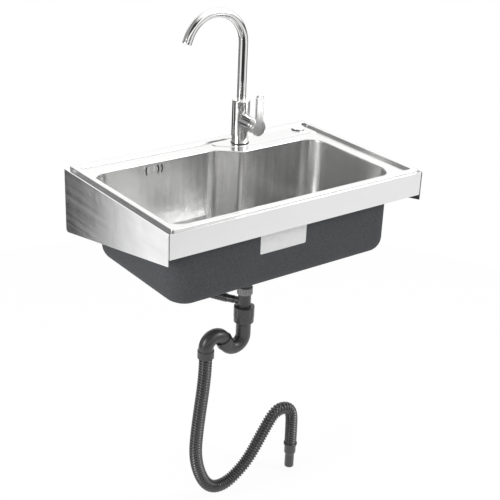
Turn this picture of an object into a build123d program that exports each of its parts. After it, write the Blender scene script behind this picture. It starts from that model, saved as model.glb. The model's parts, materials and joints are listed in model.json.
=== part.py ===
from build123d import *
import math
import os

os.makedirs("parts", exist_ok=True)

# Millimetres. +X to the right, +Y into the wall, +Z up.
# The origin is the centre of the four wall bolts, on the wall plane (Y = 0).

# Wall bracket
bracket_w = 702.0
bracket_d = 432.5
bracket_t = 1.5
panel_back_h = 154.0
panel_front_h = 70.0
panel_corner_r = 8.0
apron_h = 57.0
apron_end_gap = 2.5
ledge_drop = 4.0
ledge_w = 15.0
front_ledge_w = 17.0
rail_ledge_w = 20.0
rail_h = 41.0
wall_flange_w = 25.0
front_flange_w = 18.5
wall_hole_r = 4.5
wall_hole_edge = 12.5
wall_hole_top = 25.0
wall_hole_bottom = 130.0
sheet_gap = 0.3
flange_play = 0.1
apron_top_drop = 0.5

# Sink shell
sink_w = 680.0
sink_front_gap = 1.0
sink_back_gap = 2.0
sheet_t = 1.0
rim_rise = 6.6
rim_corner_r = 6.0
rim_edge_r = 2.0
band_w = 13.0
band_back_w = 21.0
tray_drop = 3.6
tray_corner_r = 12.0
tray_slope_w = 2.4

# Bowl: corners of the opening, clockwise from the back left
bowl_left = -328.0
bowl_right = 281.0
bowl_front = -408.0
bowl_back = -69.0
bowl_back_right = -113.0
step_start_x = 8.0
step_end_x = 62.0
back_corner_r = 50.0
step_corner_r = 40.0
step_inner_r = 25.0
front_right_r = 42.0
front_left_r = 50.0
bowl_depth = 193.0
bowl_bottom_r = 32.0
bottom_steps = 7
left_wall_slope = 17.0
lip_flare = 3.5
lip_steps = 3
coating_t = 2.0
coating_top = 9.0

# Drip groove on the right of the deck
groove_floor_drop = 2.5
groove_w = 24.0
groove_back_w = 12.0
groove_step_y = -91.0
groove_corner_r = 5.0

# Raised pad under the tap and the hole cover, whose left end runs along the bowl's step
pad_rise = 1.6
pad_lip_gap = 28.0
pad_back_gap = 4.0
pad_groove_gap = 5.0
pad_corner_r = 14.0
pad_edge_slope = 45.0

# Tap position and hole cover
tap_x = 97.0
tap_y = -57.0
tap_hole_r = 17.5
cap_x = 285.0
cap_y = -49.0
cap_hole_r = 14.0
cap_r = 16.5
cap_h = 3.0
cap_stud_r = 5.0
cap_stud_l = 22.0
cap_nut_r = 18.0
cap_nut_h = 6.0
cap_nut_flats = 8
gasket_t = 1.0

# Overflow
over_x = -156.0
over_drop = 16.0
over_slot_reach = 6.0
over_slots = ((11.0, 14.0, 42.0), (20.5, 23.5, 24.0))
over_screw_r = 2.4
over_screw_play = 0.3
over_screw_l = 24.0
over_head_r = 5.0
over_head_t = 2.2
over_house_w = 56.0
over_house_h = 29.0
over_house_corner_r = 10.0
over_seal_band = 5.0
over_seal_t = 2.0
over_house_depth = 26.0
over_wall = 2.0
over_spigot_r = 8.4
over_bore_r = 6.6

# Waste kit on the drain axis
drain_x = -20.0
drain_y = -256.0
drain_hole_r = 45.0
recess_r = 59.0
recess_drop = 3.0
flange_r = 56.5
flange_t = 1.5
seal_t = 1.5
cup_r = 43.5
cup_wall = 1.0
cup_depth = 47.0
cup_ledge_drop = 6.0
cup_ledge_r = 40.0
cup_hole_r = 5.0
cup_hole_ring_r = 22.0
cup_hole_count = 8
under_gasket_t = 2.5
housing_flange_r = 60.0
housing_flange_t = 3.5
housing_r = 50.0
housing_wall = 3.0
housing_depth = 46.0
housing_cone_h = 23.0
neck_r = 15.0
neck_bore_r = 12.0
neck_h = 17.5
boss_r = 7.0
boss_h = 14.0
screw_r = 3.0
screw_head_r = 5.5
screw_head_t = 3.2
screw_play = 0.05
screw_slot_w = 1.2
screw_below_cup = 19.0

# Lift-out basket
basket_r = 38.5
basket_wall = 0.9
basket_depth = 34.0
basket_rim_r = 42.0
basket_slot_count = 16
basket_slot_w = 3.0
basket_slot_h = 20.0
basket_hole_count = 10
stopper_r = 32.0
post_r = 4.0
knob_r = 9.5
knob_h = 8.0
knob_rise = 19.0
knob_edge_r = 2.0
basket_hole_r = 2.5
basket_hole_ring_r = 24.0
stopper_t = 2.0
rib_t = 3.0

# Outlet nut, tee and trap
tail_r = 15.5
tail_bore_r = 12.5
tail_flange_r = 16.6
tail_flange_t = 2.0
outlet_washer_t = 2.0
outlet_nut_r = 18.8
outlet_nut_rib = 1.2
outlet_nut_ribs = 18
outlet_nut_h = 17.0
nut_lip = 2.0
tee_drop = 24.0
tee_angle = 124.5
tee_boss_r = 8.6
tee_boss_l = 26.0
slip_nut_r = 25.3
slip_nut_rib = 1.4
slip_nut_ribs = 8
slip_nut_h = 26.0
slip_nut_drop = 36.0
fit_gap = 0.2
same_place = 0.01
trap_r = 18.0
trap_bore_r = 15.2
trap_collar_r = 24.2
trap_collar_h = 14.0
trap_cone_h = 6.0
trap_seal_h = 6.0
trap_seat_depth = 23.0
trap_thread_r = 21.2
trap_straight = 29.0
trap_lower_bend_r = 27.0
trap_upper_bend_r = 26.0
trap_sweep = 152.0
trap_link = 18.0
bell_wall = 2.8
bell_l = 12.0
bell_rim_gap = 0.5
trap_tail = 23.0
outlet_socket_r = 20.0
outlet_socket_l = 19.0

# Ribbed waste hose
hose_r = 16.0
hose_valley_r = 13.9
hose_bore_r = 12.3
hose_pitch = 7.3
hose_socket_gap = 0.3
hose_end_in = 17.0
end_nut_r = 17.7
end_nut_l = 6.0
end_body_r = 15.2
end_body_l = 23.0
end_taper_l = 6.0
end_spigot_r = 12.25
end_spigot_l = 38.0
end_bore_r = 9.8
end_web_t = 2.0
end_sleeve_l = 14.0
end_sleeve_wall = 2.2
# Hose route from the trap's outlet, as X and Z steps away from the outlet's centre
hose_route = (
    (0.0, 0.0),
    (0.0, -48.0),
    (-5.0, -104.0),
    (-13.0, -163.0),
    (-20.0, -221.0),
    (-24.0, -278.0),
    (-16.0, -328.0),
    (5.0, -380.0),
    (36.0, -408.0),
    (77.0, -408.0),
    (121.0, -380.0),
    (149.0, -351.0),
    (186.0, -294.0),
    (215.0, -253.0),
    (238.0, -243.0),
    (262.0, -249.0),
    (278.0, -269.0),
    (280.0, -318.0),
    (280.0, -366.0),
)

# Ribbed overflow hose
over_hose_r = 11.0
over_hose_valley_r = 9.6
over_hose_bore_r = 8.5
over_hose_pitch = 4.2
cuff_r = 10.2
cuff_l = 16.0
over_hose_in = 14.0
# Middle points of the overflow hose, from the wall-bolt origin
over_route = (
    (-156.0, -52.0, -43.0),
    (-154.0, -51.0, -98.0),
    (-147.0, -61.0, -150.0),
    (-132.0, -86.0, -196.0),
    (-107.0, -123.0, -227.0),
)

# Single-lever tap
base_seal_t = 2.0
base_seal_r = 22.5
body_r = 21.5
body_h = 105.4
body_wall = 3.2
collar_h = 6.0
collar_edge = 1.6
body_floor = 22.0
shank_r = 16.0
shank_l = 62.0
shank_seat = 8.0
inlet_r = 5.0
inlet_spacing = 12.0
inlet_depth = 14.0
washer_r = 23.0
rubber_washer_t = 3.0
steel_washer_t = 2.0
shank_nut_r = 21.0
shank_nut_h = 12.0
nut_flats = 6
spout_r = 11.0
spout_bore_r = 9.6
spout_bend_r = 80.0
spout_sweep = 157.0
spout_leg = 137.0
spout_foot_l = 26.0
bush_gap = 0.05
o_ring_r = 1.4
o_ring_count = 2
aerator_l = 9.0
aerator_lap = 8.0
aerator_wall = 1.2
aerator_grid_t = 2.0
aerator_hole_r = 0.8
aerator_hole_count = 12
spout_end_l = 8.0
clip_t = 1.6
clip_w = 2.4
clip_groove_depth = 0.6
barrel_h = 53.4
barrel_r = 18.2
barrel_edge_r = 1.4
barrel_bore_r = 13.2
lever_pivot = 54.0
barrel_past_pivot = 0.8
dome_r = 15.2
dome_wall = 1.4
dome_gap = 0.3
hub_r = 19.4
hub_start = 8.6
hub_end = 22.0
hub_back_edge = 4.2
hub_edge_r = 2.2
cartridge_r = 12.8
cartridge_l = 30.0
cartridge_nut_l = 6.0
cartridge_nut_wall = 4.5
stem_r = 3.6
stem_tail = 3.0
stem_front = 20.0
pin_r = 1.5
ear_in = 4.2
ear_out = 6.8
ear_half = 3.5
carrier_r = 7.6
carrier_l = 6.0
carrier_back = 7.0
channel_r = 2.5
dome_mouth_r = 9.0
dome_mouth_tilt = 12.5
running_play = 0.05
seat_wall = 6.0
paddle_w = 21.5
paddle_t = 5.0
paddle_h = 82.6
paddle_flare_r = 30.0
set_screw_r = 2.2
set_screw_l = 5.0
plug_r = 2.8
plug_t = 1.2
screw_out = 17.5

# Blank label on the front of the bowl
label_w = 126.0
label_h = 50.0
label_t = 0.3
label_left = -101.0
label_drop = 62.0
label_corner_r = 4.0

# Worked-out levels, from the bolt pattern's centre
bracket_top = (wall_hole_top + wall_hole_bottom) / 2
ledge_z = bracket_top - ledge_drop
rim_z = bracket_top + rim_rise
tray_z = rim_z - tray_drop
deck_under_z = tray_z - sheet_t
pad_z = tray_z + pad_rise
pad_under_z = pad_z - sheet_t
lip_z = tray_z - lip_flare
floor_z = bracket_top - bowl_depth
half_w = bracket_w / 2
panel_in = half_w - bracket_t
front_y = -bracket_d
apron_in_y = front_y + bracket_t
sink_half = sink_w / 2
sink_front = apron_in_y + sink_front_gap
sink_back = -sink_back_gap


def block(x0, x1, y0, y1, z0, z1):
    solid = Box(x1 - x0, y1 - y0, z1 - z0)
    return Pos((x0 + x1) / 2, (y0 + y1) / 2, (z0 + z1) / 2) * solid


def disc(r, z0, z1, x=0.0, y=0.0):
    return Pos(x, y, (z0 + z1) / 2) * Cylinder(r, abs(z1 - z0))


def ring(r_out, r_in, z0, z1, x=0.0, y=0.0):
    return disc(r_out, z0, z1, x, y) - disc(r_in, min(z0, z1) - 1, max(z0, z1) + 1, x, y)


def y_rod(r, y0, y1, x, z):
    rod = Cylinder(r, abs(y1 - y0))
    return Pos(x, (y0 + y1) / 2, z) * Rot(90, 0, 0) * rod


def rounded_slab(x0, x1, y0, y1, r, z0, z1, slope=0.0):
    face = RectangleRounded(x1 - x0, y1 - y0, r)
    plate = extrude(Pos((x0 + x1) / 2, (y0 + y1) / 2, z1) * face, amount=z0 - z1, taper=slope)
    return plate


def ribbed_ring(r, rib, count, r_in, z0, z1):
    points = []
    for i in range(count):
        for share, radius in ((0.0, r - rib), (0.3, r - rib), (0.4, r), (0.9, r)):
            a = 2 * math.pi * (i + share) / count
            points.append((radius * math.cos(a), radius * math.sin(a)))
    outline = make_face(Polyline(*points, close=True))
    body = extrude(Pos(0, 0, z0) * outline, amount=z1 - z0)
    return body - disc(r_in, z0 - 1, z1 + 1)


def offset_corners(corners, shifts):
    """Corners of a clockwise outline whose edges each move outwards by their own shift."""
    count = len(corners)
    lines = []
    for i in range(count):
        (x0, y0), (x1, y1) = corners[i], corners[(i + 1) % count]
        length = math.hypot(x1 - x0, y1 - y0)
        dx, dy = (x1 - x0) / length, (y1 - y0) / length
        lines.append((x0 - dy * shifts[i], y0 + dx * shifts[i], dx, dy))
    moved = []
    for i in range(count):
        ax, ay, adx, ady = lines[i - 1]
        bx, by, bdx, bdy = lines[i]
        t = ((bx - ax) * bdy - (by - ay) * bdx) / (adx * bdy - ady * bdx)
        moved.append((ax + adx * t, ay + ady * t))
    return moved


bowl_corners = (
    (bowl_left, bowl_back),
    (step_start_x, bowl_back),
    (step_end_x, bowl_back_right),
    (bowl_right, bowl_back_right),
    (bowl_right, bowl_front),
    (bowl_left, bowl_front),
)
bowl_radii = (back_corner_r, step_corner_r, -step_inner_r, back_corner_r, front_right_r, front_left_r)


def bowl_section(z, grow):
    """The bowl's plan at a height, grown outwards from the opening's size."""
    depth_share = max(0.0, bracket_top - z) / bowl_depth
    shifts = [grow, grow, grow, grow, grow, grow - left_wall_slope * depth_share]
    corners = offset_corners(bowl_corners, shifts)
    radii = [abs(r + grow) for r in bowl_radii]
    outline = FilletPolyline(*corners, radius=radii, close=True)
    return Pos(0, 0, z) * make_face(outline)


def bowl_form(wall, low_top=None):
    """Solid bounded by the bowl's surface, moved outwards by a wall's thickness.

    It flares over the lip up to the deck, unless it stops at a lower top."""
    if low_top is None:
        r = lip_flare - wall
        turns = [math.pi / 2 * i / lip_steps for i in range(lip_steps, -1, -1)]
        sections = [bowl_section(lip_z + r * math.sin(a), lip_flare - r * math.cos(a)) for a in turns]
    else:
        sections = [bowl_section(low_top, wall)]
    bend_z = floor_z + bowl_bottom_r
    for i in range(bottom_steps + 1):
        a = math.pi / 2 * i / bottom_steps
        z = bend_z - (bowl_bottom_r + wall) * math.sin(a)
        sections.append(bowl_section(z, (bowl_bottom_r + wall) * math.cos(a) - bowl_bottom_r))
    return loft(sections, ruled=True)


def save(shape, name):
    export_step(shape, "parts/" + name + ".step")


def mirror_x(shape):
    return mirror(shape, about=Plane.YZ)


def left_panel():
    low_back = bracket_top - panel_back_h
    low_front = bracket_top - panel_front_h
    outline = FilletPolyline(
        (0, bracket_top), (front_y, bracket_top), (front_y, low_front), (0, low_back),
        radius=[0.2, 2.0, 0.2, panel_corner_r], close=True)
    face = Plane.YZ * make_face(outline)
    plate = Pos(-half_w, 0, 0) * extrude(face, amount=bracket_t)
    hem_back = -2 * bracket_t - sheet_gap
    hem = block(-panel_in, -panel_in + bracket_t, apron_in_y + sheet_gap, hem_back, ledge_z, bracket_top)
    ledge_front = apron_in_y + front_ledge_w + sheet_gap
    ledge_back = -rail_ledge_w - 2 * bracket_t - sheet_gap
    ledge = block(-panel_in, -panel_in + bracket_t + ledge_w, ledge_front, ledge_back,
                  ledge_z - bracket_t, ledge_z)
    under_ledge = ledge_z - bracket_t - flange_play
    wall_flange = block(-half_w, -half_w + wall_flange_w, -bracket_t, 0,
                        low_back + panel_corner_r, under_ledge)
    front_flange = block(-panel_in, -panel_in + front_flange_w, apron_in_y, apron_in_y + bracket_t,
                         bracket_top - apron_h + 1, under_ledge)
    panel = plate + hem + ledge + wall_flange + front_flange
    for drop in (wall_hole_top, wall_hole_bottom):
        panel -= y_rod(wall_hole_r, -2 * bracket_t, 1, -half_w + wall_hole_edge, bracket_top - drop)
    return panel


def front_apron():
    end_x = panel_in - apron_end_gap
    face = block(-end_x, end_x, front_y, apron_in_y, bracket_top - apron_h, bracket_top - apron_top_drop)
    ledge_x = panel_in - bracket_t - sheet_gap
    ledge = block(-ledge_x, ledge_x, apron_in_y, apron_in_y + front_ledge_w, ledge_z - bracket_t, ledge_z)
    return face + ledge


def rear_rail():
    end_x = panel_in - sheet_gap
    web = block(-end_x, end_x, -2 * bracket_t, -bracket_t, ledge_z - rail_h, ledge_z)
    ledge = block(-end_x, end_x, -2 * bracket_t - rail_ledge_w, -bracket_t, ledge_z - bracket_t, ledge_z)
    rail = web + ledge
    for side in (-1, 1):
        hole_x = side * (half_w - wall_hole_edge)
        rail -= y_rod(wall_hole_r, -3 * bracket_t, 0, hole_x, bracket_top - wall_hole_top)
    return rail


def groove_outline(grow):
    x1 = sink_half - band_w
    y1 = sink_back - band_back_w
    y0 = sink_front + band_w
    points = ((x1 - groove_back_w - grow, y1 + grow), (x1 + grow, y1 + grow), (x1 + grow, y0 - grow),
              (x1 - groove_w - grow, y0 - grow), (x1 - groove_w - grow, groove_step_y + grow),
              (x1 - groove_back_w - grow, groove_step_y + grow))
    return make_face(FilletPolyline(*points, radius=groove_corner_r, close=True))


def pad_outline():
    """Pad's plan: it keeps one distance from the bowl's lip, and ends short of the groove."""
    x1 = sink_half - band_w - groove_back_w - pad_groove_gap
    y1 = sink_back - band_back_w - pad_back_gap
    shifts = (y1 - bowl_back, pad_lip_gap, pad_lip_gap, x1 - bowl_right, 0, 0)
    left, turn, right = offset_corners(bowl_corners, shifts)[1:4]
    return make_face(FilletPolyline(left, turn, right, (x1, y1), radius=pad_corner_r, close=True))


def pad_form(z):
    """Pad's sloped block on a level, with a root that reaches half a sheet below it."""
    outline = Pos(0, 0, z) * pad_outline()
    return extrude(outline, amount=-sheet_t / 2) + extrude(outline, amount=pad_rise, taper=pad_edge_slope)


def sink_shell():
    slab = rounded_slab(-sink_half, sink_half, sink_front, sink_back, rim_corner_r, ledge_z, rim_z)
    slab = fillet(slab.faces().sort_by(Axis.Z)[-1].edges(), rim_edge_r)
    hollow_r = rim_corner_r - sheet_t
    hollow = rounded_slab(-sink_half + sheet_t, sink_half - sheet_t, sink_front + sheet_t,
                          sink_back - sheet_t, hollow_r, ledge_z - 1, deck_under_z)
    band_top = rim_z - sheet_t
    under_band = rounded_slab(-sink_half + sheet_t, sink_half - sheet_t, sink_front + sheet_t,
                              sink_back - sheet_t, hollow_r, deck_under_z - 1, band_top)
    wall = band_w - sheet_t
    back_wall = band_back_w - sheet_t
    under_band -= rounded_slab(-sink_half + wall, sink_half - wall, sink_front + wall,
                               sink_back - back_wall, tray_corner_r + sheet_t, deck_under_z - 2, band_top + 1)
    tray = rounded_slab(-sink_half + band_w, sink_half - band_w, sink_front + band_w,
                        sink_back - band_back_w, tray_corner_r, tray_z, rim_z,
                        slope=math.degrees(math.atan(tray_slope_w / tray_drop)))
    outer = bowl_form(sheet_t)
    inner = bowl_form(0.0)
    groove_z = tray_z - groove_floor_drop
    groove_pan = extrude(Pos(0, 0, groove_z - sheet_t) * groove_outline(sheet_t),
                         amount=deck_under_z - groove_z + sheet_t + 0.5)
    groove = extrude(Pos(0, 0, groove_z) * groove_outline(0.0), amount=rim_z - groove_z)
    drain_pan = disc(recess_r + sheet_t, floor_z - recess_drop - sheet_t, floor_z - sheet_t / 2,
                     drain_x, drain_y)
    recess = disc(recess_r, floor_z - recess_drop, floor_z + 1, drain_x, drain_y)
    shell = slab - hollow - under_band + outer + groove_pan + drain_pan
    shell = shell - tray - groove - inner - recess
    shell = shell + pad_form(tray_z) - pad_form(deck_under_z)
    shell -= disc(drain_hole_r, floor_z - 10, floor_z, drain_x, drain_y)
    shell -= disc(tap_hole_r, pad_under_z - 1, pad_z + 1, tap_x, tap_y)
    shell -= disc(cap_hole_r, pad_under_z - 1, pad_z + 1, cap_x, cap_y)
    over_z = bracket_top - over_drop
    shell -= y_rod(over_screw_r + over_screw_play, bowl_back - 2, bowl_back + 3, over_x, over_z)
    for r_in, r_out, half_angle in over_slots:
        for side in (0, 180):
            shell -= overflow_slot(r_in, r_out, half_angle, side, over_z)
    return shell


def overflow_slot(r_in, r_out, half_angle, side, z):
    """A bracket-shaped slot through the bowl's back wall, with rounded ends."""
    depth = 2 * over_slot_reach
    from_axis = (Align.NONE, Align.NONE, Align.CENTER)
    cut = Rot(0, 0, side - half_angle) * Cylinder(r_out, depth, arc_size=2 * half_angle, align=from_axis)
    cut -= Cylinder(r_in, depth + 1)
    for end in (-half_angle, half_angle):
        cut += Rot(0, 0, side + end) * Pos((r_in + r_out) / 2, 0) * Cylinder((r_out - r_in) / 2, depth)
    return Pos(over_x, bowl_back, z) * Rot(90, 0, 0) * cut


def turned(points, x=0.0, y=0.0):
    """Solid of revolution about a vertical axis, from radius and height pairs."""
    face = Plane.XZ * make_face(Polyline(*points, close=True))
    return Pos(x, y, 0) * revolve(face, Axis.Z)


def on_drain(shape):
    return Pos(drain_x, drain_y, 0) * shape


def bowl_coating():
    top_z = bracket_top - coating_top
    skin = bowl_form(sheet_t + coating_t, top_z)
    skin -= bowl_form(sheet_t, top_z + 1)
    skin -= disc(housing_flange_r + 1, floor_z - 20, floor_z, drain_x, drain_y)
    back = bowl_back + sheet_t
    skin -= over_block(1.0, back - 1, back + coating_t + 1)
    return skin


def product_label():
    face = RectangleRounded(label_w, label_h, label_corner_r)
    y = bowl_front - sheet_t - coating_t
    plate = extrude(Plane.XZ * face, amount=label_t)
    return Pos(label_left + label_w / 2, y, bracket_top - label_drop - label_h / 2) * plate


# Waste levels, each worked out from the one above it
recess_z = floor_z - recess_drop
flange_z = recess_z + seal_t + flange_t
cup_floor_z = flange_z - cup_depth
cup_rest_z = flange_z - cup_ledge_drop
pan_under_z = recess_z - sheet_t
housing_top = pan_under_z - under_gasket_t
cone_top = housing_top - housing_depth
cone_bottom = cone_top - housing_cone_h
neck_end = cone_bottom - neck_h
tail_top = neck_end - outlet_washer_t
tail_flange_z = tail_top - tail_flange_t
nut_bottom = tail_flange_z - nut_lip
tee_z = tail_flange_z - tee_drop
slip_top = tail_flange_z - slip_nut_drop
slip_bottom = slip_top - slip_nut_h
socket_top = slip_top - nut_lip - trap_seal_h
socket_seat = socket_top - trap_seat_depth
collar_bottom = slip_bottom - trap_collar_h
trap_pipe_top = collar_bottom - trap_cone_h
basket_floor_z = cup_rest_z - basket_depth
over_z = bracket_top - over_drop


def strainer_flange():
    mouth_r = cup_r - cup_wall
    low_r = cup_ledge_r + cup_wall
    cup = turned((
        (flange_r, flange_z - flange_t), (flange_r, flange_z), (mouth_r, flange_z),
        (mouth_r, cup_rest_z), (cup_ledge_r, cup_rest_z), (cup_ledge_r, cup_floor_z + cup_wall),
        (0, cup_floor_z + cup_wall), (0, cup_floor_z), (low_r, cup_floor_z),
        (low_r, cup_rest_z - cup_wall), (cup_r, cup_rest_z - cup_wall), (cup_r, flange_z - flange_t)))
    cup -= disc(screw_r + screw_play, cup_floor_z - 1, cup_floor_z + cup_wall + 1)
    for hole in PolarLocations(cup_hole_ring_r, cup_hole_count):
        cup -= Pos(0, 0, cup_floor_z) * hole * Cylinder(cup_hole_r, 4 * cup_wall)
    return on_drain(cup)


def drain_housing():
    inner_r = housing_r - housing_wall
    shell = turned((
        (housing_flange_r, housing_top), (housing_flange_r, housing_top - housing_flange_t),
        (housing_r, housing_top - housing_flange_t), (housing_r, cone_top), (neck_r, cone_bottom),
        (neck_r, neck_end), (neck_bore_r, neck_end), (neck_bore_r, cone_bottom),
        (inner_r, cone_top), (inner_r, housing_top)))
    boss_low = cup_floor_z - boss_h
    shell += disc(boss_r, boss_low, cup_floor_z)
    web = block(0, inner_r + 1, -rib_t / 2, rib_t / 2, boss_low, cup_floor_z)
    inside = turned(((0, housing_top), (inner_r + 1, housing_top), (inner_r + 1, cone_top), (0, cone_bottom)))
    for turn in (90, 210, 330):
        shell += (Rot(0, 0, turn) * web) & inside
    shell -= disc(screw_r, cup_floor_z - screw_below_cup, cup_floor_z + 1)
    return on_drain(shell)


def centre_screw():
    seat = cup_floor_z + cup_wall
    screw = disc(screw_r, cup_floor_z - boss_h, seat) + disc(screw_head_r, seat, seat + screw_head_t)
    slot = block(-screw_head_r, screw_head_r, -screw_slot_w / 2, screw_slot_w / 2,
                 seat + screw_head_t / 2, seat + screw_head_t + 1)
    return on_drain(screw - slot)


def basket():
    inner_r = basket_r - basket_wall
    pan = turned((
        (basket_rim_r, cup_rest_z), (basket_rim_r, cup_rest_z + basket_wall),
        (inner_r, cup_rest_z + basket_wall), (inner_r, basket_floor_z + basket_wall),
        (0, basket_floor_z + basket_wall), (0, basket_floor_z),
        (basket_r, basket_floor_z), (basket_r, cup_rest_z)))
    pan -= disc(post_r, basket_floor_z - 1, basket_floor_z + basket_wall + 1)
    slot_z = (cup_rest_z + basket_floor_z) / 2
    slot = block(inner_r - 1, basket_r + 1, -basket_slot_w / 2, basket_slot_w / 2,
                 slot_z - basket_slot_h / 2, slot_z + basket_slot_h / 2)
    for i in range(basket_slot_count):
        pan -= Rot(0, 0, 360 * i / basket_slot_count) * slot
    for hole in PolarLocations(basket_hole_ring_r, basket_hole_count):
        pan -= Pos(0, 0, basket_floor_z) * hole * Cylinder(basket_hole_r, 4 * basket_wall)
    return on_drain(pan)


def basket_knob():
    knob_z = basket_floor_z + basket_wall + knob_rise
    knob = disc(knob_r, knob_z, knob_z + knob_h)
    knob = fillet(knob.edges().filter_by(GeomType.CIRCLE), knob_edge_r)
    collar = disc(post_r + 2, basket_floor_z + basket_wall, basket_floor_z + 3 * basket_wall)
    return on_drain(knob + collar + disc(post_r, basket_floor_z - stopper_t, knob_z))


def outlet_nut():
    top = nut_bottom + outlet_nut_h
    nut = ribbed_ring(outlet_nut_r, outlet_nut_rib, outlet_nut_ribs, neck_r + running_play, nut_bottom, top)
    nut -= disc(tail_r + fit_gap, nut_bottom - 1, tail_flange_z + 1)
    nut -= disc(tail_flange_r + fit_gap, tail_flange_z, neck_end)
    return on_drain(nut)


def tee_place(distance):
    a = math.radians(tee_angle)
    return (drain_x + distance * math.cos(a), drain_y + distance * math.sin(a), tee_z)


def tee_rod(r, start, end):
    rod = Pos(0, 0, (start + end) / 2) * Cylinder(r, end - start)
    return Pos(drain_x, drain_y, tee_z) * Rot(0, 0, tee_angle) * Rot(0, 90, 0) * rod


tee_hose_start = tee_boss_l + fit_gap
tee_spigot_l = tee_hose_start + over_hose_in


def tail_tee():
    tee = disc(tail_r, socket_seat + fit_gap, tail_top, drain_x, drain_y)
    tee += disc(tail_flange_r, tail_flange_z, tail_top, drain_x, drain_y)
    tee += tee_rod(tee_boss_r, 0, tee_boss_l)
    tee += tee_rod(over_spigot_r, tee_boss_l, tee_spigot_l)
    tee -= disc(tail_bore_r, socket_seat - 1, tail_top + 1, drain_x, drain_y)
    return tee - tee_rod(over_bore_r, 0, tee_spigot_l + 1)


def trap_nut():
    inner = trap_thread_r + running_play
    nut = ribbed_ring(slip_nut_r, slip_nut_rib, slip_nut_ribs, inner, slip_bottom, slip_top)
    nut += ring(inner + 0.5, tail_r + fit_gap, slip_top - nut_lip, slip_top)
    return on_drain(nut)


def bend_path(start, heading, pieces):
    """Lines and arcs in the trap's upright plane: each piece is a length, or a radius and a turn."""
    x, z = start
    a = math.radians(heading)
    edges = []
    for piece in pieces:
        if len(piece) == 1:
            end = (x + piece[0] * math.cos(a), z + piece[0] * math.sin(a))
            edges.append(Line((x, drain_y, z), (end[0], drain_y, end[1])))
        else:
            radius, turn = piece
            side = math.copysign(math.pi / 2, turn)
            centre = (x + radius * math.cos(a + side), z + radius * math.sin(a + side))
            mid = a + math.radians(turn) / 2 - side
            last = a + math.radians(turn) - side
            middle = (centre[0] + radius * math.cos(mid), centre[1] + radius * math.sin(mid))
            end = (centre[0] + radius * math.cos(last), centre[1] + radius * math.sin(last))
            edges.append(ThreePointArc((x, drain_y, z), (middle[0], drain_y, middle[1]),
                                       (end[0], drain_y, end[1])))
            a += math.radians(turn)
        x, z = end
    return Wire(edges), (x, z), math.degrees(a)


def swept(path, r, name=""):
    """Round rod along a path."""
    start = Plane(origin=path @ 0, z_dir=path % 0)
    rod = sweep(start * Circle(r), path=path)
    if name:
        print(name, "volume", round(rod.volume), "section times length", round(math.pi * r * r * path.length))
    return rod


lower_path, lower_end, link_heading = bend_path(
    (drain_x, trap_pipe_top), -90, ((trap_straight,), (trap_lower_bend_r, -trap_sweep), (bell_l,)))
upper_path, outlet_end, _ = bend_path(
    lower_end, link_heading, ((trap_link - bell_l,), (trap_upper_bend_r, trap_sweep), (trap_tail,)))


def along_link(distance):
    """A point on the link's axis, at a distance from the lower bend's end."""
    a = math.radians(link_heading)
    return (lower_end[0] + distance * math.cos(a), lower_end[1] + distance * math.sin(a))


bell_path, _, _ = bend_path(along_link(bell_rim_gap - bell_l), link_heading, ((trap_link - bell_rim_gap,),))
bell_bore_path, _, _ = bend_path(along_link(-bell_l), link_heading, ((bell_l + fit_gap,),))


def trap_lower_bend():
    bend = swept(lower_path, trap_r)
    bend += turned(((0, socket_top), (trap_thread_r, socket_top), (trap_thread_r, slip_bottom),
                    (trap_collar_r, slip_bottom), (trap_collar_r, collar_bottom), (trap_r, trap_pipe_top),
                    (0, trap_pipe_top)), drain_x, drain_y)
    bend -= swept(lower_path, trap_bore_r)
    bend -= disc(trap_bore_r, trap_pipe_top - 1, socket_top + 1, drain_x, drain_y)
    return bend - disc(tail_r + fit_gap, socket_seat, socket_top + 1, drain_x, drain_y)


def trap_upper_bend():
    x, z = outlet_end
    bend = swept(upper_path, trap_r) + swept(bell_path, trap_r + fit_gap + bell_wall)
    bend += disc(outlet_socket_r, z, z + outlet_socket_l, x, drain_y)
    bend -= swept(bell_bore_path, trap_r + fit_gap)
    bend -= swept(upper_path, trap_bore_r)
    return bend - disc(hose_r + hose_socket_gap, z - 1, z + hose_end_in, x, drain_y)


def route_wire(points, name, diameter):
    """Straight runs joined by tangent arcs, each as large as its two runs allow."""
    corners = [Vector(*p) for p in points]
    radii = []
    for i in range(1, len(corners) - 1):
        before = corners[i] - corners[i - 1]
        after = corners[i + 1] - corners[i]
        half_turn = math.radians(before.get_angle(after)) / 2
        radii.append(0.45 * min(before.length, after.length) / math.tan(half_turn))
    wire = FilletPolyline(*corners, radius=radii)
    print(name, "length", round(wire.length, 1), "bend radii", [round(r) for r in radii],
          "in diameters, least", round(min(radii) / diameter, 2))
    return wire


def ribbed_tube(wire, ridge_r, valley_r, bore_r, pitch, side, plain_r=0.0, plain_l=0.0):
    """Corrugated tube: four circles for each rib, all on one steady side direction."""
    length = wire.length
    count = int((length - 2 * plain_l) / pitch)
    start = (length - count * pitch) / 2
    stations = [(0.0, plain_r or valley_r)]
    if plain_l:
        stations.append((start - pitch / 4, plain_r))
    for i in range(count):
        for share, radius in ((0.1, valley_r), (0.25, ridge_r), (0.65, ridge_r), (0.8, valley_r)):
            stations.append((start + (i + share) * pitch, radius))
    if plain_l:
        stations.append((length - start + pitch / 8, plain_r))
    stations.append((length, plain_r or valley_r))
    sections = []
    for distance, radius in stations:
        at = wire.position_at(distance, position_mode=PositionMode.LENGTH)
        along = wire.tangent_at(distance, position_mode=PositionMode.LENGTH)
        sections.append(Plane(origin=at, x_dir=side, z_dir=along) * Circle(radius))
    tube = loft(sections, ruled=True)
    print("ribs", count, "inside volume", round(swept(wire, bore_r).volume),
          "section times length", round(math.pi * bore_r ** 2 * length))
    return tube - swept(wire, bore_r)


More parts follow.
